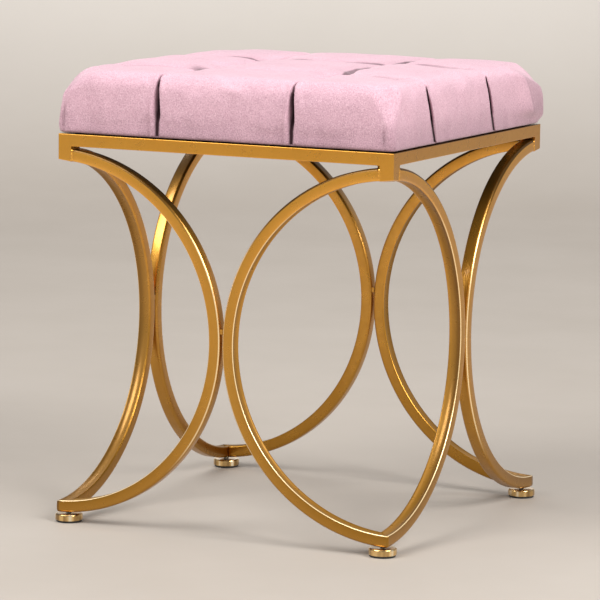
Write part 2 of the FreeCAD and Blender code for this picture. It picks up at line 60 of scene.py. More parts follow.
def coords(t, scale=(1, 1, 1), turn=(0, 0, 0)):
    c = t.nodes.new("ShaderNodeTexCoord")
    m = t.nodes.new("ShaderNodeMapping")
    m.inputs["Scale"].default_value = scale
    m.inputs["Rotation"].default_value = turn
    t.links.new(c.outputs["Object"], m.inputs["Vector"])
    return m.outputs["Vector"]


def noise_tex(t, where, scale, detail=2.0, rough=0.5):
    n = t.nodes.new("ShaderNodeTexNoise")
    n.inputs["Scale"].default_value = scale
    n.inputs["Detail"].default_value = detail
    n.inputs["Roughness"].default_value = rough
    t.links.new(where, n.inputs["Vector"])
    return n.outputs["Fac"]


def ramp(t, fac, stops):
    r = t.nodes.new("ShaderNodeValToRGB")
    e = r.color_ramp.elements
    while len(e) < len(stops):
        e.new(0.5)
    for el, (pos, col) in zip(e, stops):
        el.position = pos
        el.color = (*col, 1)
    t.links.new(fac, r.inputs["Fac"])
    return r.outputs["Color"]


def span(t, fac, a, b, lo, hi):
    m = t.nodes.new("ShaderNodeMapRange")
    m.inputs["From Min"].default_value = a
    m.inputs["From Max"].default_value = b
    m.inputs["To Min"].default_value = lo
    m.inputs["To Max"].default_value = hi
    t.links.new(fac, m.inputs["Value"])
    return m.outputs["Result"]


def mix(t, fac, a, b, how="MIX"):
    m = t.nodes.new("ShaderNodeMix")
    m.data_type = "RGBA"
    m.blend_type = how
    for i, v in ((0, fac), (6, a), (7, b)):
        if hasattr(v, "is_linked"):
            t.links.new(v, m.inputs[i])
        else:
            m.inputs[i].default_value = (*v, 1) if isinstance(v, tuple) else v
    return m.outputs[2]


def math_node(t, how, a, b=0.0):
    m = t.nodes.new("ShaderNodeMath")
    m.operation = how
    for i, v in enumerate((a, b)):
        if hasattr(v, "is_linked"):
            t.links.new(v, m.inputs[i])
        else:
            m.inputs[i].default_value = v
    return m.outputs[0]


def bump(t, bsdf, height, strength, distance, before=None):
    b = t.nodes.new("ShaderNodeBump")
    b.inputs["Strength"].default_value = strength
    b.inputs["Distance"].default_value = distance
    t.links.new(height, b.inputs["Height"])
    if before is not None:
        t.links.new(before, b.inputs["Normal"])
    t.links.new(b.outputs["Normal"], bsdf.inputs["Normal"])
    return b.outputs["Normal"]


def gold_paint(name, least_shade):
    m, t, p = new_material(name)
    at = coords(t)
    broad = noise_tex(t, at, 9.0, 3.0, 0.55)
    mottle = noise_tex(t, at, 75.0, 4.0, 0.62)
    fleck = noise_tex(t, at, 2600.0, 1.0, 0.5)
    tone = ramp(t, broad, [(0.3, (0.94, 0.435, 0.042)), (0.7, (1.0, 0.490, 0.060))])
    tone = mix(t, span(t, mottle, 0.42, 0.75, 0.0, 0.38), tone, (0.76, 0.330, 0.028))
    tone = mix(t, span(t, fleck, 0.60, 0.80, 0.0, 0.25), tone, (1.0, 0.68, 0.28))
    # painted shade: the gold is darkened to brown towards the floor, standing in for darker reflections low down; the
    # coat is made thinner there too, below
    split = t.nodes.new("ShaderNodeSeparateXYZ")
    t.links.new(at, split.inputs["Vector"])
    tone = mix(t, span(t, split.outputs["Z"], 0.0, 0.40, 0.86, 0.0), tone, (0.26, 0.125, 0.016))
    # painted shade: brown on the dished and covered sides of a leg; painted highlight: cream along its front edges
    leg_shade = t.nodes.new("ShaderNodeAttribute")
    leg_shade.attribute_name = "leg_shade"
    tone = mix(t, leg_shade.outputs["Fac"], tone, (0.40, 0.195, 0.030))
    highlight_attr = t.nodes.new("ShaderNodeAttribute")
    highlight_attr.attribute_name = "edge_highlight"
    tone = mix(t, highlight_attr.outputs["Fac"], tone, (1.0, 0.80, 0.47))
    # painted shade: nearly black where a leg runs in under a rail, in the corners of the welds, and along the joint
    # below the seat
    deep_shade = t.nodes.new("ShaderNodeAttribute")
    deep_shade.attribute_name = "deep_shade"
    seat_shadow = span(t, split.outputs["Z"], 0.4282, 0.4289, least_shade, 0.82)
    shade_black = math_node(t, "MAXIMUM", deep_shade.outputs["Fac"], seat_shadow)
    tone = mix(t, shade_black, tone, (0.040, 0.018, 0.003))
    t.links.new(tone, p.inputs["Base Color"])
    t.links.new(span(t, mottle, 0.3, 0.7, 0.25, 0.35), p.inputs["Roughness"])
    # the painted shade and painted highlights are also less metallic
    shade_or_highlight = math_node(t, "MAXIMUM", highlight_attr.outputs["Fac"], leg_shade.outputs["Fac"])
    t.links.new(span(t, shade_or_highlight, 0.0, 1.0, 1.0, 0.35), p.inputs["Metallic"])
    # no coat where the painted shade lies
    lacquer = span(t, math_node(t, "MAXIMUM", leg_shade.outputs["Fac"], shade_black), 0.0, 0.8, 1.0, 0.05)
    lacquer = math_node(t, "MULTIPLY", lacquer, span(t, split.outputs["Z"], 0.0, 0.40, 0.15, 1.0))
    t.links.new(lacquer, p.inputs["Coat Weight"])
    p.inputs["Coat Roughness"].default_value = 0.15
    first = bump(t, p, noise_tex(t, at, 380.0, 2.0, 0.5), 0.045, 0.0006)
    bump(t, p, fleck, 0.06, 0.0002, first)
    return m


def turned_gold():
    m, t, p = new_material("turned_gold_finish")
    at = coords(t)
    rings = noise_tex(t, coords(t, (1, 1, 40)), 60.0, 3.0, 0.6)
    mottle = noise_tex(t, at, 160.0, 3.0, 0.6)
    tone = ramp(t, mottle, [(0.3, (0.70, 0.44, 0.15)), (0.7, (0.82, 0.57, 0.25))])
    # painted reflection: upright bands of light and dark round the rim
    reflection_bands = noise_tex(t, coords(t, (1, 1, 0.03)), 150.0, 1.0, 0.4)
    tone = mix(t, span(t, reflection_bands, 0.36, 0.50, 0.80, 0.0), tone, (0.20, 0.10, 0.018))
    tone = mix(t, span(t, reflection_bands, 0.54, 0.66, 0.0, 0.85), tone, (1.0, 0.90, 0.66))
    t.links.new(tone, p.inputs["Base Color"])
    t.links.new(span(t, rings, 0.3, 0.7, 0.11, 0.20), p.inputs["Roughness"])
    p.inputs["Metallic"].default_value = 1.0
    p.inputs["Coat Weight"].default_value = 0.6
    p.inputs["Coat Roughness"].default_value = 0.08
    bump(t, p, rings, 0.10, 0.0002)
    return m


def zinc():
    m, t, p = new_material("zinc_steel_finish")
    at = coords(t)
    grain = noise_tex(t, at, 260.0, 4.0, 0.6)
    tone = ramp(t, grain, [(0.3, (0.46, 0.46, 0.45)), (0.7, (0.66, 0.66, 0.64))])
    t.links.new(tone, p.inputs["Base Color"])
    t.links.new(span(t, grain, 0.3, 0.7, 0.28, 0.5), p.inputs["Roughness"])
    p.inputs["Metallic"].default_value = 1.0
    bump(t, p, noise_tex(t, coords(t, (1, 1, 6)), 900.0, 2.0), 0.12, 0.0002)
    return m


def sole():
    m, t, p = new_material("foot_sole_finish")
    at = coords(t)
    grain = noise_tex(t, at, 1500.0, 3.0, 0.6)
    tone = ramp(t, grain, [(0.35, (0.010, 0.010, 0.010)), (0.75, (0.028, 0.027, 0.026))])
    dust = noise_tex(t, at, 130.0, 3.0, 0.6)
    tone = mix(t, span(t, dust, 0.5, 0.8, 0.0, 0.25), tone, (0.09, 0.08, 0.07))
    t.links.new(tone, p.inputs["Base Color"])
    t.links.new(span(t, grain, 0.3, 0.7, 0.55, 0.75), p.inputs["Roughness"])
    bump(t, p, grain, 0.25, 0.0003)
    return m


def dust_cloth():
    m, t, p = new_material("dust_cloth_finish")
    at = coords(t)
    fibre = noise_tex(t, coords(t, (1, 6, 1), (0, 0, 0.5)), 420.0, 4.0, 0.7)
    fibre2 = noise_tex(t, coords(t, (6, 1, 1), (0, 0, 0.9)), 420.0, 4.0, 0.7)
    both = math_node(t, "MAXIMUM", fibre, fibre2)
    tone = ramp(t, both, [(0.45, (0.010, 0.010, 0.011)), (0.8, (0.06, 0.06, 0.063))])
    v = t.nodes.new("ShaderNodeTexVoronoi")
    v.inputs["Scale"].default_value = 320.0
    t.links.new(at, v.inputs["Vector"])
    dots = span(t, v.outputs["Distance"], 0.1, 0.3, 0.0, 1.0)
    t.links.new(tone, p.inputs["Base Color"])
    p.inputs["Roughness"].default_value = 0.85
    p.inputs["Sheen Weight"].default_value = 0.15
    first = bump(t, p, dots, 0.5, 0.0004)
    bump(t, p, both, 0.3, 0.0003, first)
    return m


def plywood():
    m, t, p = new_material("plywood_finish")
    at = coords(t)
    grain = noise_tex(t, coords(t, (18, 1.2, 1)), 14.0, 5.0, 0.6)
    tone = ramp(t, grain, [(0.25, (0.40, 0.26, 0.13)), (0.55, (0.56, 0.39, 0.21)), (0.8, (0.64, 0.47, 0.28))])
    w = t.nodes.new("ShaderNodeTexWave")
    w.bands_direction = "Z"
    w.inputs["Scale"].default_value = 130.0
    w.inputs["Distortion"].default_value = 0.6
    t.links.new(at, w.inputs["Vector"])
    tone = mix(t, span(t, w.outputs["Fac"], 0.45, 0.55, 0.0, 0.35), tone, (0.25, 0.15, 0.07))
    t.links.new(tone, p.inputs["Base Color"])
    p.inputs["Roughness"].default_value = 0.7
    bump(t, p, grain, 0.2, 0.0005)
    return m


def fill_fibre(name, light, dark, scale, rough):
    m, t, p = new_material(name)
    cells = noise_tex(t, coords(t), scale, 4.0, 0.65)
    t.links.new(ramp(t, cells, [(0.3, dark), (0.7, light)]), p.inputs["Base Color"])
    p.inputs["Roughness"].default_value = rough
    bump(t, p, cells, 0.6, 0.0015)
    return m


def velvet():
    m, t, p = new_material("velvet_finish")
    at = coords(t)
    nap = noise_tex(t, at, 640.0, 3.0, 0.65)
    strands = noise_tex(t, coords(t, (1, 1, 0.6)), 1150.0, 2.0, 0.6)
    patch = noise_tex(t, at, 17.0, 3.0, 0.55)
    brushed = noise_tex(t, coords(t, (1, 1, 0.5), (0.2, 0.1, 0.4)), 48.0, 3.0, 0.6)
    tone = ramp(t, patch, [(0.3, (0.545, 0.335, 0.405)), (0.7, (0.62, 0.385, 0.460))])
    tone = mix(t, span(t, brushed, 0.42, 0.75, 0.0, 0.30), tone, (0.44, 0.262, 0.322))
    tone = mix(t, span(t, nap, 0.46, 0.70, 0.0, 0.70), tone, (0.36, 0.205, 0.258))
    tone = mix(t, span(t, strands, 0.48, 0.70, 0.0, 0.62), tone, (0.82, 0.585, 0.660))
    # painted shade: darker towards the stapled bottom edge, broken up by the nap and brushed noise
    split = t.nodes.new("ShaderNodeSeparateXYZ")
    t.links.new(at, split.inputs["Vector"])
    low = span(t, split.outputs["Z"], 0.4305, 0.4610, 1.0, 0.0)
    low = math_node(t, "MULTIPLY", low, span(t, nap, 0.36, 0.64, 0.30, 1.0))
    low = math_node(t, "MULTIPLY", low, span(t, brushed, 0.3, 0.7, 0.6, 1.0))
    tone = mix(t, low, tone, (0.27, 0.165, 0.200))
    # painted shade, strongest on the right
    right_low_shade = math_node(t, "MULTIPLY", span(t, split.outputs["X"], 0.190, 0.199, 0.0, 0.34), span(t, split.outputs["Z"], 0.434, 0.474, 1.0, 0.0))
    tone = mix(t, right_low_shade, tone, (0.27, 0.165, 0.200))
    # painted shade: darkened deep in the creases, slits and tuft pits, where shade falls
    crease_shade = t.nodes.new("ShaderNodeAttribute")
    crease_shade.attribute_name = "crease_shade"
    tone = mix(t, crease_shade.outputs["Fac"], tone, (0.026, 0.009, 0.013))
    t.links.new(tone, p.inputs["Base Color"])
    t.links.new(span(t, nap, 0.3, 0.7, 0.80, 0.95), p.inputs["Roughness"])
    p.inputs["Specular IOR Level"].default_value = 0.15
    p.inputs["Sheen Weight"].default_value = 0.42
    p.inputs["Sheen Roughness"].default_value = 0.40
    p.inputs["Sheen Tint"].default_value = (1.0, 0.86, 0.91, 1)
    first = bump(t, p, nap, 0.45, 0.0009)
    bump(t, p, strands, 0.35, 0.0004, first)
    return m


FINISH = {
    "gold_paint": gold_paint("gold_paint_finish", 0.0),
    # a darker copy of the gold for the post welds: painted shade in the crotch under the rail
    "gold_weld_shaded": gold_paint("gold_weld_shaded_finish", 0.80),
    "turned_gold": turned_gold(),
    "zinc_steel": zinc(),
    "foot_sole": sole(),
    "dust_cloth": dust_cloth(),
    "plywood": plywood(),
    "foam": fill_fibre("foam_finish", (0.86, 0.80, 0.62), (0.66, 0.58, 0.40), 700.0, 0.95),
    "wadding": fill_fibre("wadding_finish", (0.90, 0.90, 0.88), (0.70, 0.70, 0.68), 300.0, 0.95),
    "twine": fill_fibre("twine_finish", (0.80, 0.77, 0.70), (0.55, 0.52, 0.45), 2400.0, 0.9),
    "velvet": velvet(),
}
for part in frame["record"]["subparts"]:
    o = nodes[part["node"]]
    o.data.materials.clear()
    # the post welds take the shaded copy of the gold paint
    special = "turned_gold" if part["node"].startswith("foot_cup") else "gold_weld_shaded" if part["node"] == "post_welds" else None
    o.data.materials.append(FINISH[special or part["material_slot"]])


# ---------------------------------------------------------------- mesh helpers
def smooth(x, a, b):
    s = np.clip((x - a) / (b - a), 0, 1)
    return s * s * (3 - 2 * s)


def vertex_normals(co, quads):
    a, b = co[quads[:, 2]] - co[quads[:, 0]], co[quads[:, 3]] - co[quads[:, 1]]
    fn = np.cross(a, b)
    vn = np.zeros_like(co)
    for k in range(4):
        np.add.at(vn, quads[:, k], fn)
    return vn / np.maximum(np.linalg.norm(vn, axis=1, keepdims=True), 1e-9)


def wave_noise(points, size, seed, octaves=2):
    """Smooth noise, about -1 to 1, with features of the given size in mm."""
    out = np.empty(len(points))
    off = Vector((seed * 13.7, seed * 7.3, seed * 3.1))
    for i, q in enumerate(points):
        v = Vector(q) / size + off
        s = noise.noise(v)
        if octaves > 1:
            s += 0.5 * noise.noise(v * 2.1)
        out[i] = s
    return out


def make_mesh(name, co, faces):
    me = bpy.data.meshes.new(name)
    me.from_pydata([tuple(c) for c in np.asarray(co) * MM], [], [tuple(int(i) for i in q) for q in faces])
    me.update()
    o = bpy.data.objects.new(name, me)
    bpy.context.scene.collection.objects.link(o)
    return o


def read_mesh(o):
    n = len(o.data.vertices)
    co = np.empty(n * 3)
    o.data.vertices.foreach_get("co", co)
    return co.reshape(n, 3) / MM


def write_mesh(o, co):
    o.data.vertices.foreach_set("co", (co * MM).ravel())
    o.data.update()


def apply_modifiers(o):
    bpy.context.view_layer.update()
    dg = bpy.context.evaluated_depsgraph_get()
    me = bpy.data.meshes.new_from_object(o.evaluated_get(dg), preserve_all_data_layers=True, depsgraph=dg)
    old = o.data
    o.modifiers.clear()
    o.data = me
    bpy.data.meshes.remove(old)


def shade(o, finish, body, slot, *stands_for):
    o.data.materials.clear()
    o.data.materials.append(FINISH[finish])
    o.data.polygons.foreach_set("use_smooth", [True] * len(o.data.polygons))
    if stands_for:
        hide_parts(*stands_for)
    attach(o, body)


# ------------------------------------------------------------------ bent legs
def leg_section():
    """Points round the tube as (radius, depth): full outer corners, tight inner ones, and an inner side dished in by
    the bending."""
    r_in, r_out, deep, full, tight, sag = 188.0, 201.5, 15.0, 2.8, 1.5, 1.8
    pts = []

    def corner(cr, cd, rc, a0):
        for k in range(7):
            a = math.radians(a0 + 15 * k)
            pts.append((cr + rc * math.cos(a), cd + rc * math.sin(a)))

    def flat(r0, r1, d):
        for k in range(1, 6):
            pts.append((r0 + (r1 - r0) * k / 6, d))

    corner(r_out - full, deep - full, full, 0)
    flat(r_out - full, r_in + tight, deep)
    corner(r_in + tight, deep - tight, tight, 90)
    for k in range(1, 10):
        d = deep - tight - (deep - 2 * tight) * k / 10
        u = (d - deep / 2) / (deep / 2 - tight)
        pts.append((r_in + sag * (1 - u * u), d))
    corner(r_in + tight, tight, tight, 180)
    flat(r_in + tight, r_out - full, 0.0)
    corner(r_out - full, full, full, 270)
    # the sides bow out a little between their corners
    out = []
    for r, d in pts:
        u = (r - (r_in + r_out) / 2) / ((r_out - r_in) / 2)
        v = (d - deep / 2) / (deep / 2)
        out.append((r - 0.25 * v * v * max(u, 0.0), deep / 2 + (d - deep / 2) * (1 - 0.035 * u * u)))
    return out


def bent_leg(name, quarter, hand):
    """hand 1 is the left leg of a side seen from outside, -1 the right one."""
    sec = leg_section()
    n, steps = len(sec), 150
    cx, cz, face = 202.6, 212.2, 200.0
    co = []
    for s in range(steps + 1):
        f = s / steps
        for r, d in sec:
            lo = -math.acos((2.6 + d) / r)
            hi = math.acos(18.6 / r)
            a = lo + (hi - lo) * f
            co.append((-cx + r * math.cos(a), -face + d, cz + r * math.sin(a)))
    faces = []
    for s in range(steps):
        for k in range(n):
            a, b = s * n + k, s * n + (k + 1) % n
            faces.append((a, a + n, b + n, b))
    faces.append(tuple(range(n)))
    faces.append(tuple(reversed(range(steps * n, steps * n + n))))
    co = np.array(co)
    if hand < 0:
        co[:, 0] = -co[:, 0]
        faces = [tuple(reversed(q)) for q in faces]
    o = make_mesh("tube_" + name, quarter_turn(co, quarter), faces)
    # painted shade on the dished inner side and on the outer side where it runs in under the rail, and painted
    # highlights along the two front edges; places round the section follow leg_section
    z = co[:, 2]
    k = np.tile(np.arange(n), steps + 1)
    leg_shade = np.interp(k, [15, 18, 20, 26, 28, 31], [0, 0.45, 0.8, 0.8, 0.45, 0])
    outer = np.where((k >= 41) | (k <= 5), 1.0, 0.0)
    edge_in = np.where((k >= 30) & (k <= 32), 1.0, 0.0) * (1 - smooth(z, 330, 385))
    edge_out = np.where((k >= 42) & (k <= 43), 1.0, 0.0) * (1 - smooth(z, 300, 345)) * smooth(z, 60, 110)
    edge_highlight = np.maximum(edge_in, edge_out)
    leg_shade = np.maximum(leg_shade, 0.35 * outer * (k != 41) * (k != 5))
    leg_shade = np.maximum(leg_shade, np.interp(k, [35, 40, 41, 42], [0, 0.36, 0.36, 0]))
    # painted shade, nearly black, on the outer side under the rail and on part of the inner side
    deep_shade = np.maximum(0.9 * outer * smooth(z, 300, 375), np.interp(k, [18, 23, 28, 30], [0, 0.22, 0.55, 0]))
    for label, v in (("leg_shade", leg_shade * (1 - edge_highlight)), ("edge_highlight", edge_highlight * 0.8), ("deep_shade", deep_shade * (1 - edge_highlight))):
        o.data.attributes.new(label, "FLOAT", "POINT").data.foreach_set("value", v)
    shade(o, "gold_paint", "frame_and_seat", "gold_paint", name)
    for i in (len(faces) - 2, len(faces) - 1):
        o.data.polygons[i].use_smooth = False


def quarter_turn(co, quarter):
    turn = quarter * math.pi / 2
    x, y = co[:, 0], co[:, 1]
    return np.column_stack([x * math.cos(turn) - y * math.sin(turn), x * math.sin(turn) + y * math.cos(turn), co[:, 2]])


def weld_bead(name, quarter, hand):
    """Lumpy painted bead over the seam between a leg's upper end and its post."""
    stops = [(-199.3, 412.2), (-199.4, 401.0), (-198.2, 399.9), (-186.6, 399.9), (-185.6, 401.0), (-185.7, 412.2)]
    line = []
    for (y0, z0), (y1, z1) in zip(stops, stops[1:]):
        n = max(3, int(math.hypot(y1 - y0, z1 - z0) / 0.7))
        for k in range(n):
            line.append((y0 + (y1 - y0) * k / n, z0 + (z1 - z0) * k / n))
    line.append(stops[-1])
    around, co = 12, []
    for i, (y, z) in enumerate(line):
        y0, z0 = line[max(i - 1, 0)]
        y1, z1 = line[min(i + 1, len(line) - 1)]
        ty, tz = y1 - y0, z1 - z0
        long = math.hypot(ty, tz)
        ny, nz = -tz / long, ty / long
        lump = 1 + 0.16 * math.sin(i * 1.9 + quarter * 2.3) + 0.10 * math.sin(i * 0.83 + hand)
        end = min(1.0, 0.35 + 0.3 * min(i, len(line) - 1 - i))
        for k in range(around):
            a = 2 * math.pi * k / around
            across = 2.1 * lump * end * math.cos(a)
            up = 1.05 * lump * end * math.sin(a)
            co.append((-183.6 + across, y + ny * up, z + nz * up))
    faces = []
    for i in range(len(line) - 1):
        for k in range(around):
            a, b = i * around + k, i * around + (k + 1) % around
            faces.append((a, b, b + around, a + around))
    faces.append(tuple(reversed(range(around))))
    faces.append(tuple(range((len(line) - 1) * around, len(line) * around)))
    co = np.array(co)
    if hand < 0:
        co[:, 0] = -co[:, 0]
        faces = [tuple(reversed(q)) for q in faces]
    o = make_mesh("weld_bead_" + name, quarter_turn(co, quarter), faces)
    shade(o, "gold_paint", "frame_and_seat", "gold_paint")


SIDES = ["front", "right", "back", "left"]
for q, side_name in enumerate(SIDES):
    for hand, by in ((1, SIDES[q - 1]), (-1, SIDES[(q + 1) % 4])):
        bent_leg("leg_%s_by_%s" % (side_name, by), q, hand)
        weld_bead("%s_by_%s" % (side_name, by), q, hand)


# --------------------------------------------------------------- screw threads
def threaded_stud(corner, sx, sy):
    pitch, major, minor = 1.0, 2.98, 2.42
    lo, hi = 5.32, 19.85
    around, per = 28, 8
    rows = int((hi - lo) / pitch * per)
    co = []
    for i in range(rows + 1):
        z = lo + (hi - lo) * i / rows
        end = min(1.0, (hi - z) / 0.8)
        for k in range(around):
            a = 2 * math.pi * k / around
            u = (z / pitch - k / around) % 1.0
            tooth = min(1.0, max(0.0, 1.6 * (1 - abs(2 * u - 1)) - 0.25))
            r = (minor + (major - minor) * tooth) * (0.75 + 0.25 * end)
            co.append((sx * 190.2 + r * math.cos(a), sy * 190.2 + r * math.sin(a), z))
    faces = []
    for i in range(rows):
        for k in range(around):
            a, b = i * around + k, i * around + (k + 1) % around
            faces.append((a, b, b + around, a + around))
    faces.append(tuple(reversed(range(around))))
    faces.append(tuple(range(rows * around, rows * around + around)))
    o = make_mesh("threaded_stud_" + corner, co, faces)
    shade(o, "zinc_steel", "foot_screw_" + corner, "zinc_steel", "foot_stud_" + corner)


for c, sx, sy in (("fl", -1, -1), ("fr", 1, -1), ("br", 1, 1), ("bl", -1, 1)):
    threaded_stud(c, sx, sy)


# --------------------------------------------------------------------- cushion
H = 199.8            # half width of the seat before it is filled out, mm
Z0, Z1 = 430.15, 497.5
TUFT = 80.0          # tuft lines before the set of the cover is shifted
EDGE = 14.0          # rounding along the top edges
FORWARD = 14.0       # the tufts lie this far to the front


def grid_lines():
    keep = set()
    for c in (-TUFT, TUFT):
        for k in range(-8, 9):
            keep.add(round(c + 1.25 * k, 4))
        for k in (12.5, 15.5, 19.0):
            keep.add(round(c - k, 4))
            keep.add(round(c + k, 4))
    spans = [(-H, -150, 3.3), (-150, -TUFT - 19, 5.0), (-TUFT + 19, TUFT - 19, 5.0), (TUFT + 19, 150, 5.0), (150, H, 3.3)]
    for a, b, step in spans:
        n = max(2, int(round((b - a) / step)))
        for k in range(n + 1):
            keep.add(round(a + (b - a) * k / n, 4))
    return np.array(sorted(keep))


def box_grid(xs, ys, zs):
    """Closed surface grid of a box: the vertices' lattice places and the quads."""
    nx, ny, nz = len(xs), len(ys), len(zs)
    index = -np.ones((nx, ny, nz), int)
    i, j, k = np.meshgrid(np.arange(nx), np.arange(ny), np.arange(nz), indexing="ij")
    skin = (i == 0) | (i == nx - 1) | (j == 0) | (j == ny - 1) | (k == 0) | (k == nz - 1)
    lattice = np.column_stack([i[skin], j[skin], k[skin]])
    index[skin] = np.arange(len(lattice))
    quads = []

    def sheet(g, flip):
        q = np.stack([g[:-1, :-1], g[1:, :-1], g[1:, 1:], g[:-1, 1:]], axis=-1).reshape(-1, 4)
        quads.append(q[:, ::-1] if flip else q)

    sheet(index[:, :, nz - 1], False)
    sheet(index[:, :, 0], True)
    sheet(index[:, 0, :], False)
    sheet(index[:, ny - 1, :], True)
    sheet(index[0, :, :], True)
    sheet(index[nx - 1, :, :], False)
    return lattice, np.concatenate(quads)


def near(v):
    """Signed distance to the nearer tuft line."""
    return np.where(np.abs(v - TUFT) < np.abs(v + TUFT), v - TUFT, v + TUFT)


def body_shape(P, top, bottom):
    """P: places on a plain box. Gives the rounded seat block."""
    x, y, z = P.T.copy()
    w = smooth(z, Z0 + 16, Z1 - 4)
    blunt = (x > 0) & (y < 0)
    rc = 6.5 + (np.where(blunt, 25.0, 15.5) - 6.5) * w
    power = 2.0 - np.where(blunt, 0.8, 0.0) * w
    under = 2.0
    e = np.where(top | bottom, H - np.maximum(np.abs(x), np.abs(y)), 0.0)
    zt, zb = Z1 - z, z - Z0
    inset = np.where(top | bottom, e, 0.0)
    znew = z.copy()

    def roll(mask, run, radius, flat, base, sign):
        """Half of an edge's rounding, on the flat side or on the upright side."""
        nonlocal inset, znew
        part = 45 * (1 - np.clip(run / radius, 0, 1))
        phi = np.radians(part if flat else 90 - part)
        inset = np.where(mask, radius * (1 - np.sin(phi)), inset)
        znew = np.where(mask, base - sign * (radius - radius * np.cos(phi)), znew)

    upright = ~(top | bottom)
    roll(top & (e < EDGE), e, EDGE, True, Z1, 1)
    roll(upright & (zt < EDGE), zt, EDGE, False, Z1, 1)
    roll(bottom & (e < under), e, under, True, Z0, -1)
    roll(upright & (zb < under), zb, under, False, Z0, -1)
    s = np.where(e < rc, (rc - inset) / np.maximum(rc - e, 1e-6), 1.0)
    ax, ay = np.abs(x), np.abs(y)
    core = H - rc
    dx, dy = np.maximum(ax - core, 0) * s, np.maximum(ay - core, 0) * s
    m, n = np.maximum(dx, dy), (np.maximum(dx, 1e-9) ** power + np.maximum(dy, 1e-9) ** power) ** (1 / power)
    f = np.where(n > 1e-9, m / np.maximum(n, 1e-9), 1.0)
    x2 = np.sign(x) * (np.minimum(ax, core) + dx * f)
    y2 = np.sign(y) * (np.minimum(ay, core) + dy * f)
    return np.column_stack([x2, y2, znew])


def tuft_depth(P, up):
    """How far the ties and the creases between them pull the cover in, mm."""
    x, y, z = P.T
    dx, dy = near(x), near(y)

    def line(d, along):
        a = np.abs(along)
        inner = 5.0 + 2.0 * np.clip(a / TUFT, 0, 1) ** 2
        outer = 7.0 - 6.2 * smooth(a, TUFT, 165)
        depth = np.where(a < TUFT, inner, outer) * np.clip(up * 1.3, 0, 1)
        return depth * (0.7 * np.clip(1 - np.abs(d) / 8.0, 0, 1) ** 2 + 0.3 * np.clip(1 - np.abs(d) / 34.0, 0, 1) ** 2)

    total = np.maximum(line(dx, y), line(dy, x))
    # the pits are steeper on their front side, where the filling is pushed up
    r = np.hypot(dx, np.where(dy < 0, dy * 2.2, dy))
    wide = 3.4 * np.clip(1 - np.hypot(dx, dy) / 52.0, 0, 1) ** 1.7 * (0.15 + 0.85 * smooth(dy, -26, 8))
    return total + (13.0 * np.clip(1 - r / 16.0, 0, 1) ** 1.6 + wide) * up


def crown(P, up):
    """Each panel stands up a little in its middle."""
    x, y, _ = P.T

    def hump(v):
        a = np.abs(v)
        mid = 1 - (np.clip(a / TUFT, 0, 1)) ** 2.4
        out = 1 - (np.abs(np.clip((a - TUFT) / (H - TUFT), 0, 1) * 2 - 1)) ** 2.4
        return np.where(a < TUFT, mid, out)

    # the rows along the front and the back are packed lower
    return (0.8 + 2.4 * smooth(y, -110, -60)) * (1 - 0.5 * smooth(y, 75, 120)) * hump(x) * hump(y) * up


# how far each top corner has slumped, its reach in x and y, and how it falls off
CORNERS = {(-1, -1): (25, 50, 72, 2.0), (1, -1): (6, 40, 40, 2.0), (1, 1): (21, 29, 60, 1.2), (-1, 1): (20, 52, 52, 1.6)}


def corner_near(P):
    return np.hypot(H - np.abs(P[:, 0]), H - np.abs(P[:, 1]))


def corner_drop(P):
    x, y, z = P.T
    h = np.clip((z - Z0) / (Z1 - Z0), 0, 1)
    out = np.zeros(len(P))
    for (sx, sy), (most, reach_x, reach_y, power) in CORNERS.items():
        here = (x * sx > 0) & (y * sy > 0)
        rho = np.hypot((H - np.abs(x)) / reach_x, (H - np.abs(y)) / reach_y)
        out += np.where(here, most * np.clip(1 - rho, 0, 1) ** power, 0.0)
    return out * h ** 1.15


def fill_out(o, pins, cap):
    """Fills the cover like a pad: cloth under pressure, held at the ties, the
    creases and the margin under the seat."""
    start = read_mesh(o)
    g = o.vertex_groups.new(name="held")
    for w in np.unique(np.round(pins, 2)):
        if w > 0:
            g.add(np.nonzero(np.round(pins, 2) == w)[0].tolist(), float(w), "REPLACE")
    mod = o.modifiers.new("fill", "CLOTH")
    s = mod.settings
    s.quality = 6
    s.mass = 0.25
    s.tension_stiffness = s.compression_stiffness = 18
    s.shear_stiffness = 8
    s.bending_stiffness = 0.6
    s.air_damping = 2.0
    s.use_pressure = True
    s.uniform_pressure_force = 4.0
    s.shrink_min = s.shrink_max = -0.014
    s.vertex_group_mass = "held"
    s.pin_stiffness = 1.5
    s.effector_weights.gravity = 0.0
    mod.collision_settings.use_collision = False
    mod.point_cache.frame_start, mod.point_cache.frame_end = 1, 20
    sc = bpy.context.scene
    for f in range(1, 21):
        sc.frame_set(f)
    apply_modifiers(o)
    sc.frame_set(1)
    o.vertex_groups.clear()
    move = read_mesh(o) - start
    far = np.linalg.norm(move, axis=1)
    print("cushion filled out: most moved %.1f mm, mean %.2f mm" % (far.max(), far.mean()))
    keep = cap / (cap + far)
    write_mesh(o, start + move * keep[:, None])


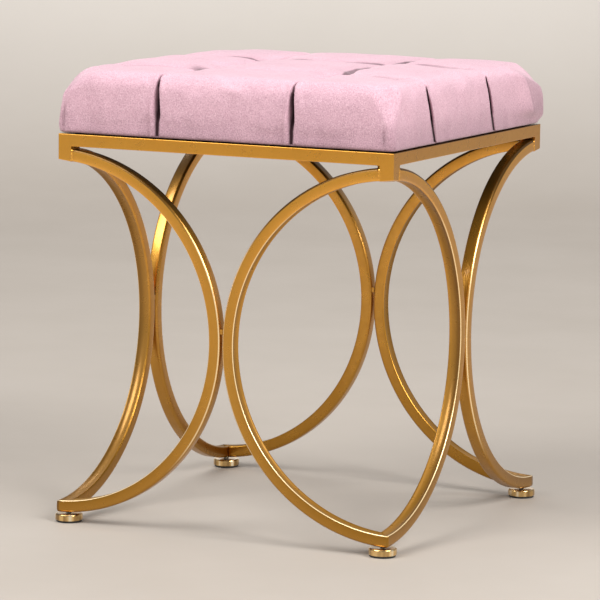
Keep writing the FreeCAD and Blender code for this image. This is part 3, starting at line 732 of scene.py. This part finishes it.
def cushion():
    xs = grid_lines()
    nz = 19
    zs = np.linspace(Z0, Z1, nz)
    lattice, quads = box_grid(xs, xs, zs)
    P = np.column_stack([xs[lattice[:, 0]], xs[lattice[:, 1]], zs[lattice[:, 2]]])
    top, bottom = lattice[:, 2] == nz - 1, lattice[:, 2] == 0
    co = body_shape(P, top, bottom)
    nrm = vertex_normals(co, quads)
    up = np.clip(nrm[:, 2], 0, 1)
    co = co + nrm * (crown(P, up) - tuft_depth(P, up))[:, None]
    co[:, 2] -= corner_drop(P)
    o = make_mesh("cushion_velvet", co, quads)
    a = o.data.attributes.new("flat", "FLOAT_VECTOR", "POINT")
    a.data.foreach_set("vector", (P * MM).ravel())
    dx, dy = np.abs(near(P[:, 0])), np.abs(near(P[:, 1]))
    r = np.hypot(dx, dy)
    pins = np.where((np.minimum(dx, dy) < 0.7) & (up > 0.3), 0.8, 0.0)
    pins = np.where((r < 6) & (up > 0.4), 1.0, pins)
    pins = np.where(P[:, 2] < Z0 + 12, 1.0, pins)
    cap = 2.2 + 1.8 * smooth(up, 0.0, 1.0)
    cap *= 0.3 + 0.7 * smooth(corner_near(P), 20, 70)
    cap *= 1 - 0.5 * smooth(up, 0.5, 1.0) * (1 - smooth(P[:, 1], -100, -60))
    fill_out(o, pins, cap)
    sub = o.modifiers.new("round", "SUBSURF")
    sub.levels = sub.render_levels = 1
    apply_modifiers(o)
    finish_cover(o)
    shade(o, "velvet", "frame_and_seat", "velvet", "seat_cover", "seat_foam", "seat_wadding")
    return o


def crease_strength(axis, line, along):
    """How hard the cover is drawn in along the crease on a tuft line, 0 to 1."""
    a = np.abs(along)
    ends = np.clip(1 - np.abs(a - TUFT) / 70.0, 0, 1)
    if axis == 0 and line > 0:
        w = np.where(along < -TUFT, 0.25 * ends, 0.75 + 0.25 * ends)
    elif axis == 0:
        w = np.where(along < -TUFT, 0.2 * ends, np.where(along < TUFT, 0.10 + 0.40 * ends, 0.08 + 0.25 * ends))
    elif line > 0:
        w = np.where(along > TUFT, 0.3 + 0.4 * ends, 0.25 + 0.75 * ends)
    else:
        w = np.where(along > TUFT, 0.2 + 0.3 * ends, 0.15 + 0.75 * ends * smooth(along, -60, 70))
    return w


def finish_cover(o):
    """The pleats, folds and small puckers, as moves of the fine mesh."""
    me = o.data
    n = len(me.vertices)
    flat = np.empty(n * 3)
    me.attributes["flat"].data.foreach_get("vector", flat)
    P = flat.reshape(n, 3) / MM
    co = read_mesh(o)
    quads = np.empty(len(me.polygons) * 4, int)
    me.polygons.foreach_get("vertices", quads)
    quads = quads.reshape(-1, 4)
    nrm = vertex_normals(co, quads)
    x, y, z = P.T
    h = np.clip((z - Z0) / (Z1 - Z0), 0, 1)
    up = np.clip(nrm[:, 2], 0, 1)
    low = nrm[:, 2] < -0.5
    keep = np.where(low, 0.0, 1.0)
    crease_shade = np.zeros(n)
    shift = np.zeros((n, 3))
    upright = z < Z1 - 0.01

    # knife pleats down the sides and creases over the top, on each tuft line
    for axis in (0, 1):
        c, other = P[:, axis], P[:, 1 - axis]
        hand = np.where(other < 0, 1.0, -1.0)
        a = np.abs(other)
        on_side = upright & (a > H - 1.0)
        inner = a < TUFT
        from_edge = H - a
        for line in (-TUFT, TUFT):
            s = (c - line) * hand
            # towards the bottom the board lies close behind the cover
            deep_side = 1.2 + 7.8 * smooth(z, 445, 466)
            deep_side = np.where(h > 0.8, deep_side * (1 - 0.15 * smooth(h, 0.8, 1.0)), deep_side)
            deep_top = np.where(
                inner,
                2.6 + 1.8 * (a / TUFT) ** 3,
                1.3 + 3.0 * (1 - smooth(a, TUFT, TUFT + 45)) + 5.6 * (1 - smooth(from_edge, 4, 24)),
            )
            deep = np.where(on_side, deep_side, deep_top)
            wide_side = 2.25 - 1.0 * h + (1.4 if axis == 0 else 1.0) * np.sin(np.pi * np.clip(h * 0.86 + 0.10, 0, 1)) ** 1.3
            wide_top = np.where(inner, 0.9, 0.85 + 0.4 * (1 - smooth(from_edge, 4, 24)))
            wide = np.where(on_side, wide_side, wide_top)
            slit = np.exp(-((np.abs(s - 0.3 * wide) / wide) ** 4))
            # a narrow raised fold edge on the left, broader low down
            edge = np.exp(-(((s + wide + 0.6) / 0.9) ** 2)) * np.where(on_side, 0.55 if axis == 0 else 0.8, 0.0)
            band = np.exp(-(((s + wide + 2.0) / 1.7) ** 2)) * np.where(on_side, 2.6 * (1 - smooth(h, 0.25, 0.8)), 0.0)
            # the other panel rounds into the pleat
            turn_in = np.where(on_side & (s > 0), np.exp(-np.maximum(s - wide, 0) / 2.6), 0.0) * (1.7 if axis == 0 else 0.5)
            turn_in *= smooth(z, 443, 456)
            band = np.where(axis == 0, band, 0.35 * band)
            back = np.exp(-(((s - wide - 2.5) / 2.6) ** 2)) * np.where(on_side, 0.4 if axis == 0 else 0.1, 0.0)
            # over the top one panel's rolled rim stands over the next one's foot
            t = (c - line) * (-1.0 if axis == 0 else 1.0)
            seg = crease_strength(axis, line, other)
            # the rim sinks to the ties and stands highest between them
            stand = 0.7 if line < 0 else 2.3 if axis == 0 else 1.5
            stand = stand * seg * smooth(np.abs(a - TUFT), 3, 20) * smooth(from_edge, 12, 50) * np.where(other < -TUFT, 0.3, 1.0)
            outer = 15.0
            if axis == 0 and line > 0:
                # the panels on the right puff up against the middle ones
                mid = 5.0 * smooth(other, -62, -12) * (1 - 0.3 * smooth(other, 5, 40)) * (1 - smooth(other, 45, 78))
                far = 4.2 * smooth(other, 80, 96) * (1 - smooth(other, 112, 165))
                stand = np.where(other < -TUFT, stand, (mid + far) * seg)
                outer = 27.0
            rim = np.exp(-(((t + 4.2) / 3.4) ** 2)) * np.where(on_side, 0.0, 1.3 * seg * smooth(from_edge, 6, 40))
            rim = rim + np.exp(-(((t + 7.5) / np.where(t < -7.5, outer, 5.5)) ** 2)) * np.where(on_side, 0.0, stand)
            if axis == 1 and line < 0:
                # the front row bulges up against the first ties
                lift = (0.3 + 0.7 * smooth(other, -110, -20)) * (1 - smooth(other, 110, 165))
                rim = rim + np.exp(-(((t + 8.0) / np.where(t < -8.0, 24.0, 6.0)) ** 2)) * np.where(on_side, 0.0, 2.6 * lift)
            hidden = stand * 2.4 if axis == 0 else stand * 5.4 + 5.0 * smooth(np.abs(a - TUFT), 8, 30)
            shift += nrm * ((edge + band + back + rim - turn_in - deep * slit) * keep)[:, None]
            # painted shade down in the pleats' slits and on the panel turning into them
            crease_shade = np.maximum(crease_shade, np.where(on_side & (s > 0), np.exp(-np.maximum(s - wide, 0) / 1.1) * 0.55, 0.0) * keep)
            lean = np.exp(-(((s + wide * 0.6) / 0.9) ** 2)) * np.where(on_side, 0.35, 0.25) * keep
            shift[:, axis] += lean * hand
            dark = np.where(on_side, 1.0, np.clip((deep - 1.2) / 4.0, 0, 0.85))
            crease_shade = np.maximum(crease_shade, np.clip(slit * 1.2 - 0.15, 0, 1) * dark * keep)
            # painted shade on the far foot of each crease over the top, just beyond the rim
            ahead = t - hidden
            near_end, far_end = (2.6, 5.2) if axis == 0 else (3.0, 6.2)
            foot = smooth(t, -1.6, -0.2) * ((1 - smooth(ahead, near_end, far_end)) * 0.84 + (1 - smooth(ahead, 6, 22)) * 0.12) * seg
            crease_shade = np.maximum(crease_shade, np.where(on_side, 0.0, foot) * keep * smooth(from_edge, 14, 40))

    # small puckers round the ties
    dx, dy = near(x), near(y)
    r = np.hypot(dx, dy)
    ang = np.arctan2(dy, dx)
    which = np.sign(x) * 1.3 + np.sign(y) * 2.1
    rays = np.cos(ang * 7 + which) * 0.6 + np.cos(ang * 11 + which * 2.0) * 0.4
    pucker = rays * np.exp(-(((r - 13) / 9.0) ** 2)) * 0.6 * up
    # painted shade in the tuft pits, just behind each tie
    for sx, sy, reach, back, amount in ((-1, -1, 11.0, 13.0, 0.85), (1, -1, 6.0, 9.0, 0.60), (1, 1, 5.0, 7.0, 0.60), (-1, 1, 7.0, 8.0, 0.50)):
        here = (x * sx > 0) & (y * sy > 0) & (up > 0.05)
        rf = np.hypot((dx + 3.4) / 1.4, dy - back)
        crease_shade = np.maximum(crease_shade, np.where(here, np.exp(-((rf / reach) ** 2.2)) * amount, 0.0))

    # folds where the cover is gathered at the corners: face, place low, place
    # high, lowest and highest z, depth, and how the corner side is set back
    def corner_fold(face, sign, c_low, c_high, z_low, z_high, depth, step, setback, ridge=0.0):
        nonlocal shift, crease_shade
        axis = 1 - face
        on = (P[:, face] * sign > H - 0.01) & upright & ~low
        f = np.clip((z - z_low) / (z_high - z_low), 0, 1)
        path = c_low + (c_high - c_low) * f
        out_dir = np.sign(c_low)
        s = (P[:, axis] - path) * out_dir
        w = smooth(z, z_low - 6, z_low + 8) * (1 - smooth(z, z_high - 14, z_high + 4))
        groove = np.exp(-((np.abs(s) / 1.9) ** 2.2))
        rise = np.where(s > 0, np.exp(-s / 11.0), 0.0) * (1 - np.exp(-(np.maximum(s, 0) / 1.6)))
        away = smooth(s, 0, 26)
        peak = np.where(s < 0, np.exp(-((s / 24.0) ** 2)), np.clip(1 - s / np.maximum(H - np.abs(path), 8), 0, 1))
        d = (-depth * groove + step * rise - setback * away + ridge * peak) * w
        shift += np.where(on, d, 0.0)[:, None] * nrm
        # painted shade in the corner fold's groove
        crease_shade = np.maximum(crease_shade, np.where(on, 0.35 * groove * w, 0.0))
        # painted shade: a facet turned from the light is darkened a little more
        crease_shade = np.maximum(crease_shade, np.where(on, 0.05 * ridge * smooth(s, -1, 5) * w, 0.0))

    corner_fold(1, -1, 189, 187, 434, 458, 0.5, 0.3, 0.0)
    corner_fold(1, -1, -193, -191, 436, 474, 1.3, 0.5, 0.0)
    corner_fold(0, 1, 168, 150, 444, 500, 0.3, 0.0, 0.0, 5.0)
    corner_fold(1, 1, -172, -150, 446, 492, 2.0, 0.4, 2.2)
    corner_fold(0, -1, 183, 180, 436, 486, 1.4, 0.9, 0.0)

    # the cover is pulled round the bottom edge and stapled: a scalloped margin
    tight = np.exp(-((h / 0.17) ** 2)) * keep
    scallop = np.zeros(n)
    idx = np.nonzero(tight > 0.01)[0]
    scallop[idx] = wave_noise(np.column_stack([x[idx], y[idx], 0 * idx]), 19.0, 3) * 0.75 + 0.25
    # gathers close to the upright corners
    idx = np.nonzero((corner_near(P) < 26) & ~low & (h < 0.85))[0]
    gather = np.zeros(n)
    gather[idx] = wave_noise(P[idx] * np.array([1, 1, 0.35]), 7.0, 11) * 0.7 * (1 - smooth(corner_near(P)[idx], 8, 26))
    # broad unevenness of the filling
    idx = np.nonzero(~low)[0]
    uneven = np.zeros(n)
    uneven[idx] = wave_noise(P[idx], 62.0, 5) * 0.9 + wave_noise(P[idx], 24.0, 8, 1) * 0.25
    amount = pucker + scallop * tight + gather + uneven * smooth(h, 0.05, 0.3)
    shift += nrm * amount[:, None]

    co = co + shift
    # the tufts' set to the front, and the lean of the pleats on the two ends
    way = 1 - smooth(np.abs(P[:, 1]), TUFT + 4, H + 2)
    recess = np.clip(H - np.abs(co[:, 0]), 0, 5) * (np.abs(P[:, 0]) > H - 30)
    lean = (26.0 * h - 2.4 * recess) * smooth(np.abs(P[:, 0]), 100, H - 2)
    co[:, 1] -= (FORWARD + lean) * way * keep
    # two corners stand out a little where the cover is bunched
    for sx, sy, out_x, out_y in ((1, 1, 4.4, 3.0), (-1, -1, 2.2, 0.4)):
        here = np.exp(-(((P[:, 0] - sx * H) / 30.0) ** 2) - ((P[:, 1] - sy * H) / 45.0) ** 2)
        here *= smooth(h, 0.0, 0.22) * (1 - 0.6 * smooth(h, 0.6, 1.0)) * keep
        co[:, 0] += sx * out_x * here
        co[:, 1] += sy * out_y * here
    co[:, 2] = np.maximum(co[:, 2], Z0)
    write_mesh(o, co)
    f = me.attributes.new("crease_shade", "FLOAT", "POINT")
    f.data.foreach_set("value", crease_shade)
    me.attributes.remove(me.attributes["flat"])


cushion()


# ------------------------------------------------------------- floor and light
def studio_floor():
    """Floor running up into a low backdrop in one sweep."""
    prof = [(-7.0, 0.0), (2.6, 0.0)]
    for k in range(1, 10):
        a = math.radians(90 * k / 12)
        prof.append((2.6 + 1.2 * math.sin(a), 1.2 - 1.2 * math.cos(a)))
    turn = Matrix.Rotation(math.radians(25.9), 4, "Z")
    verts, faces = [], []
    for y, z in prof:
        for x in (-9.0, 9.0):
            verts.append(turn @ Vector((x, y, z)))
    for k in range(len(prof) - 1):
        faces.append((2 * k, 2 * k + 1, 2 * k + 3, 2 * k + 2))
    me = bpy.data.meshes.new("studio_floor")
    me.from_pydata([tuple(v) for v in verts], [], faces)
    me.polygons.foreach_set("use_smooth", [True] * len(faces))
    o = bpy.data.objects.new("studio_floor", me)
    bpy.context.scene.collection.objects.link(o)
    m, t, p = new_material("studio_floor_finish")
    at = coords(t)
    tone = ramp(t, noise_tex(t, at, 3.0, 4.0, 0.6), [(0.3, (0.395, 0.355, 0.315)), (0.7, (0.425, 0.385, 0.345))])
    split = t.nodes.new("ShaderNodeSeparateXYZ")
    t.links.new(at, split.inputs["Vector"])
    tone = mix(t, span(t, split.outputs["Z"], 0.02, 0.7, 0.0, 1.0), tone, (0.72, 0.685, 0.645))
    t.links.new(tone, p.inputs["Base Color"])
    p.inputs["Roughness"].default_value = 0.6
    me.materials.append(m)


def area_light(name, place, aim, size, watts, tone):
    d = bpy.data.lights.new(name, "AREA")
    d.shape = "RECTANGLE"
    d.size, d.size_y = size
    d.energy = watts
    d.color = tone
    o = bpy.data.objects.new(name, d)
    o.location = place
    o.rotation_euler = (Vector(aim) - Vector(place)).to_track_quat("-Z", "Y").to_euler()
    bpy.context.scene.collection.objects.link(o)


def studio_light():
    w = bpy.data.worlds.new("studio")
    w.use_nodes = True
    bg = w.node_tree.nodes["Background"]
    bg.inputs["Color"].default_value = (1.0, 0.985, 0.97, 1)
    bg.inputs["Strength"].default_value = 0.42
    bpy.context.scene.world = w
    area_light("key", (-1.25, -2.1, 2.8), (0, 0, 0.35), (2.2, 2.2), 116, (1.0, 0.985, 0.96))
    area_light("over", (0.1, 0.2, 2.5), (0, 0, 0.4), (1.8, 1.8), 4, (1.0, 0.99, 0.98))
    area_light("wall", (-0.87, 1.8, 3.0), (-1.66, 3.42, 0.5), (2.6, 0.8), 44, (1.0, 0.99, 0.975))
    area_light("fill", (2.55, -0.75, 2.2), (0, 0, 0.35), (1.7, 1.7), 110, (1.0, 0.985, 0.97))


def photo_camera():
    az, el, roll = (math.radians(v) for v in (25.901, 8.018, 0.753))
    dist, focal = 3.467334, 3753.987
    aim = Vector((0.31022, -0.645339, 0.337617))
    back = Vector((math.sin(az) * math.cos(el), -math.cos(az) * math.cos(el), math.sin(el)))
    right = (-back).cross(Vector((0, 0, 1))).normalized()
    upv = right.cross(-back)
    r2 = math.cos(roll) * right + math.sin(roll) * upv
    u2 = -math.sin(roll) * right + math.cos(roll) * upv
    d = bpy.data.cameras.new("photo_view")
    d.sensor_width = 36.0
    d.sensor_fit = "HORIZONTAL"
    d.lens = focal / 600.0 * 36.0
    d.clip_start, d.clip_end = 0.05, 60.0
    o = bpy.data.objects.new("photo_view", d)
    m = Matrix((r2, u2, back)).transposed().to_4x4()
    m.translation = aim + back * dist
    o.matrix_world = m
    bpy.context.scene.collection.objects.link(o)
    bpy.context.scene.camera = o


studio_floor()
studio_light()
photo_camera()
bpy.context.scene.view_settings.view_transform = "Standard"

bpy.context.view_layer.update()
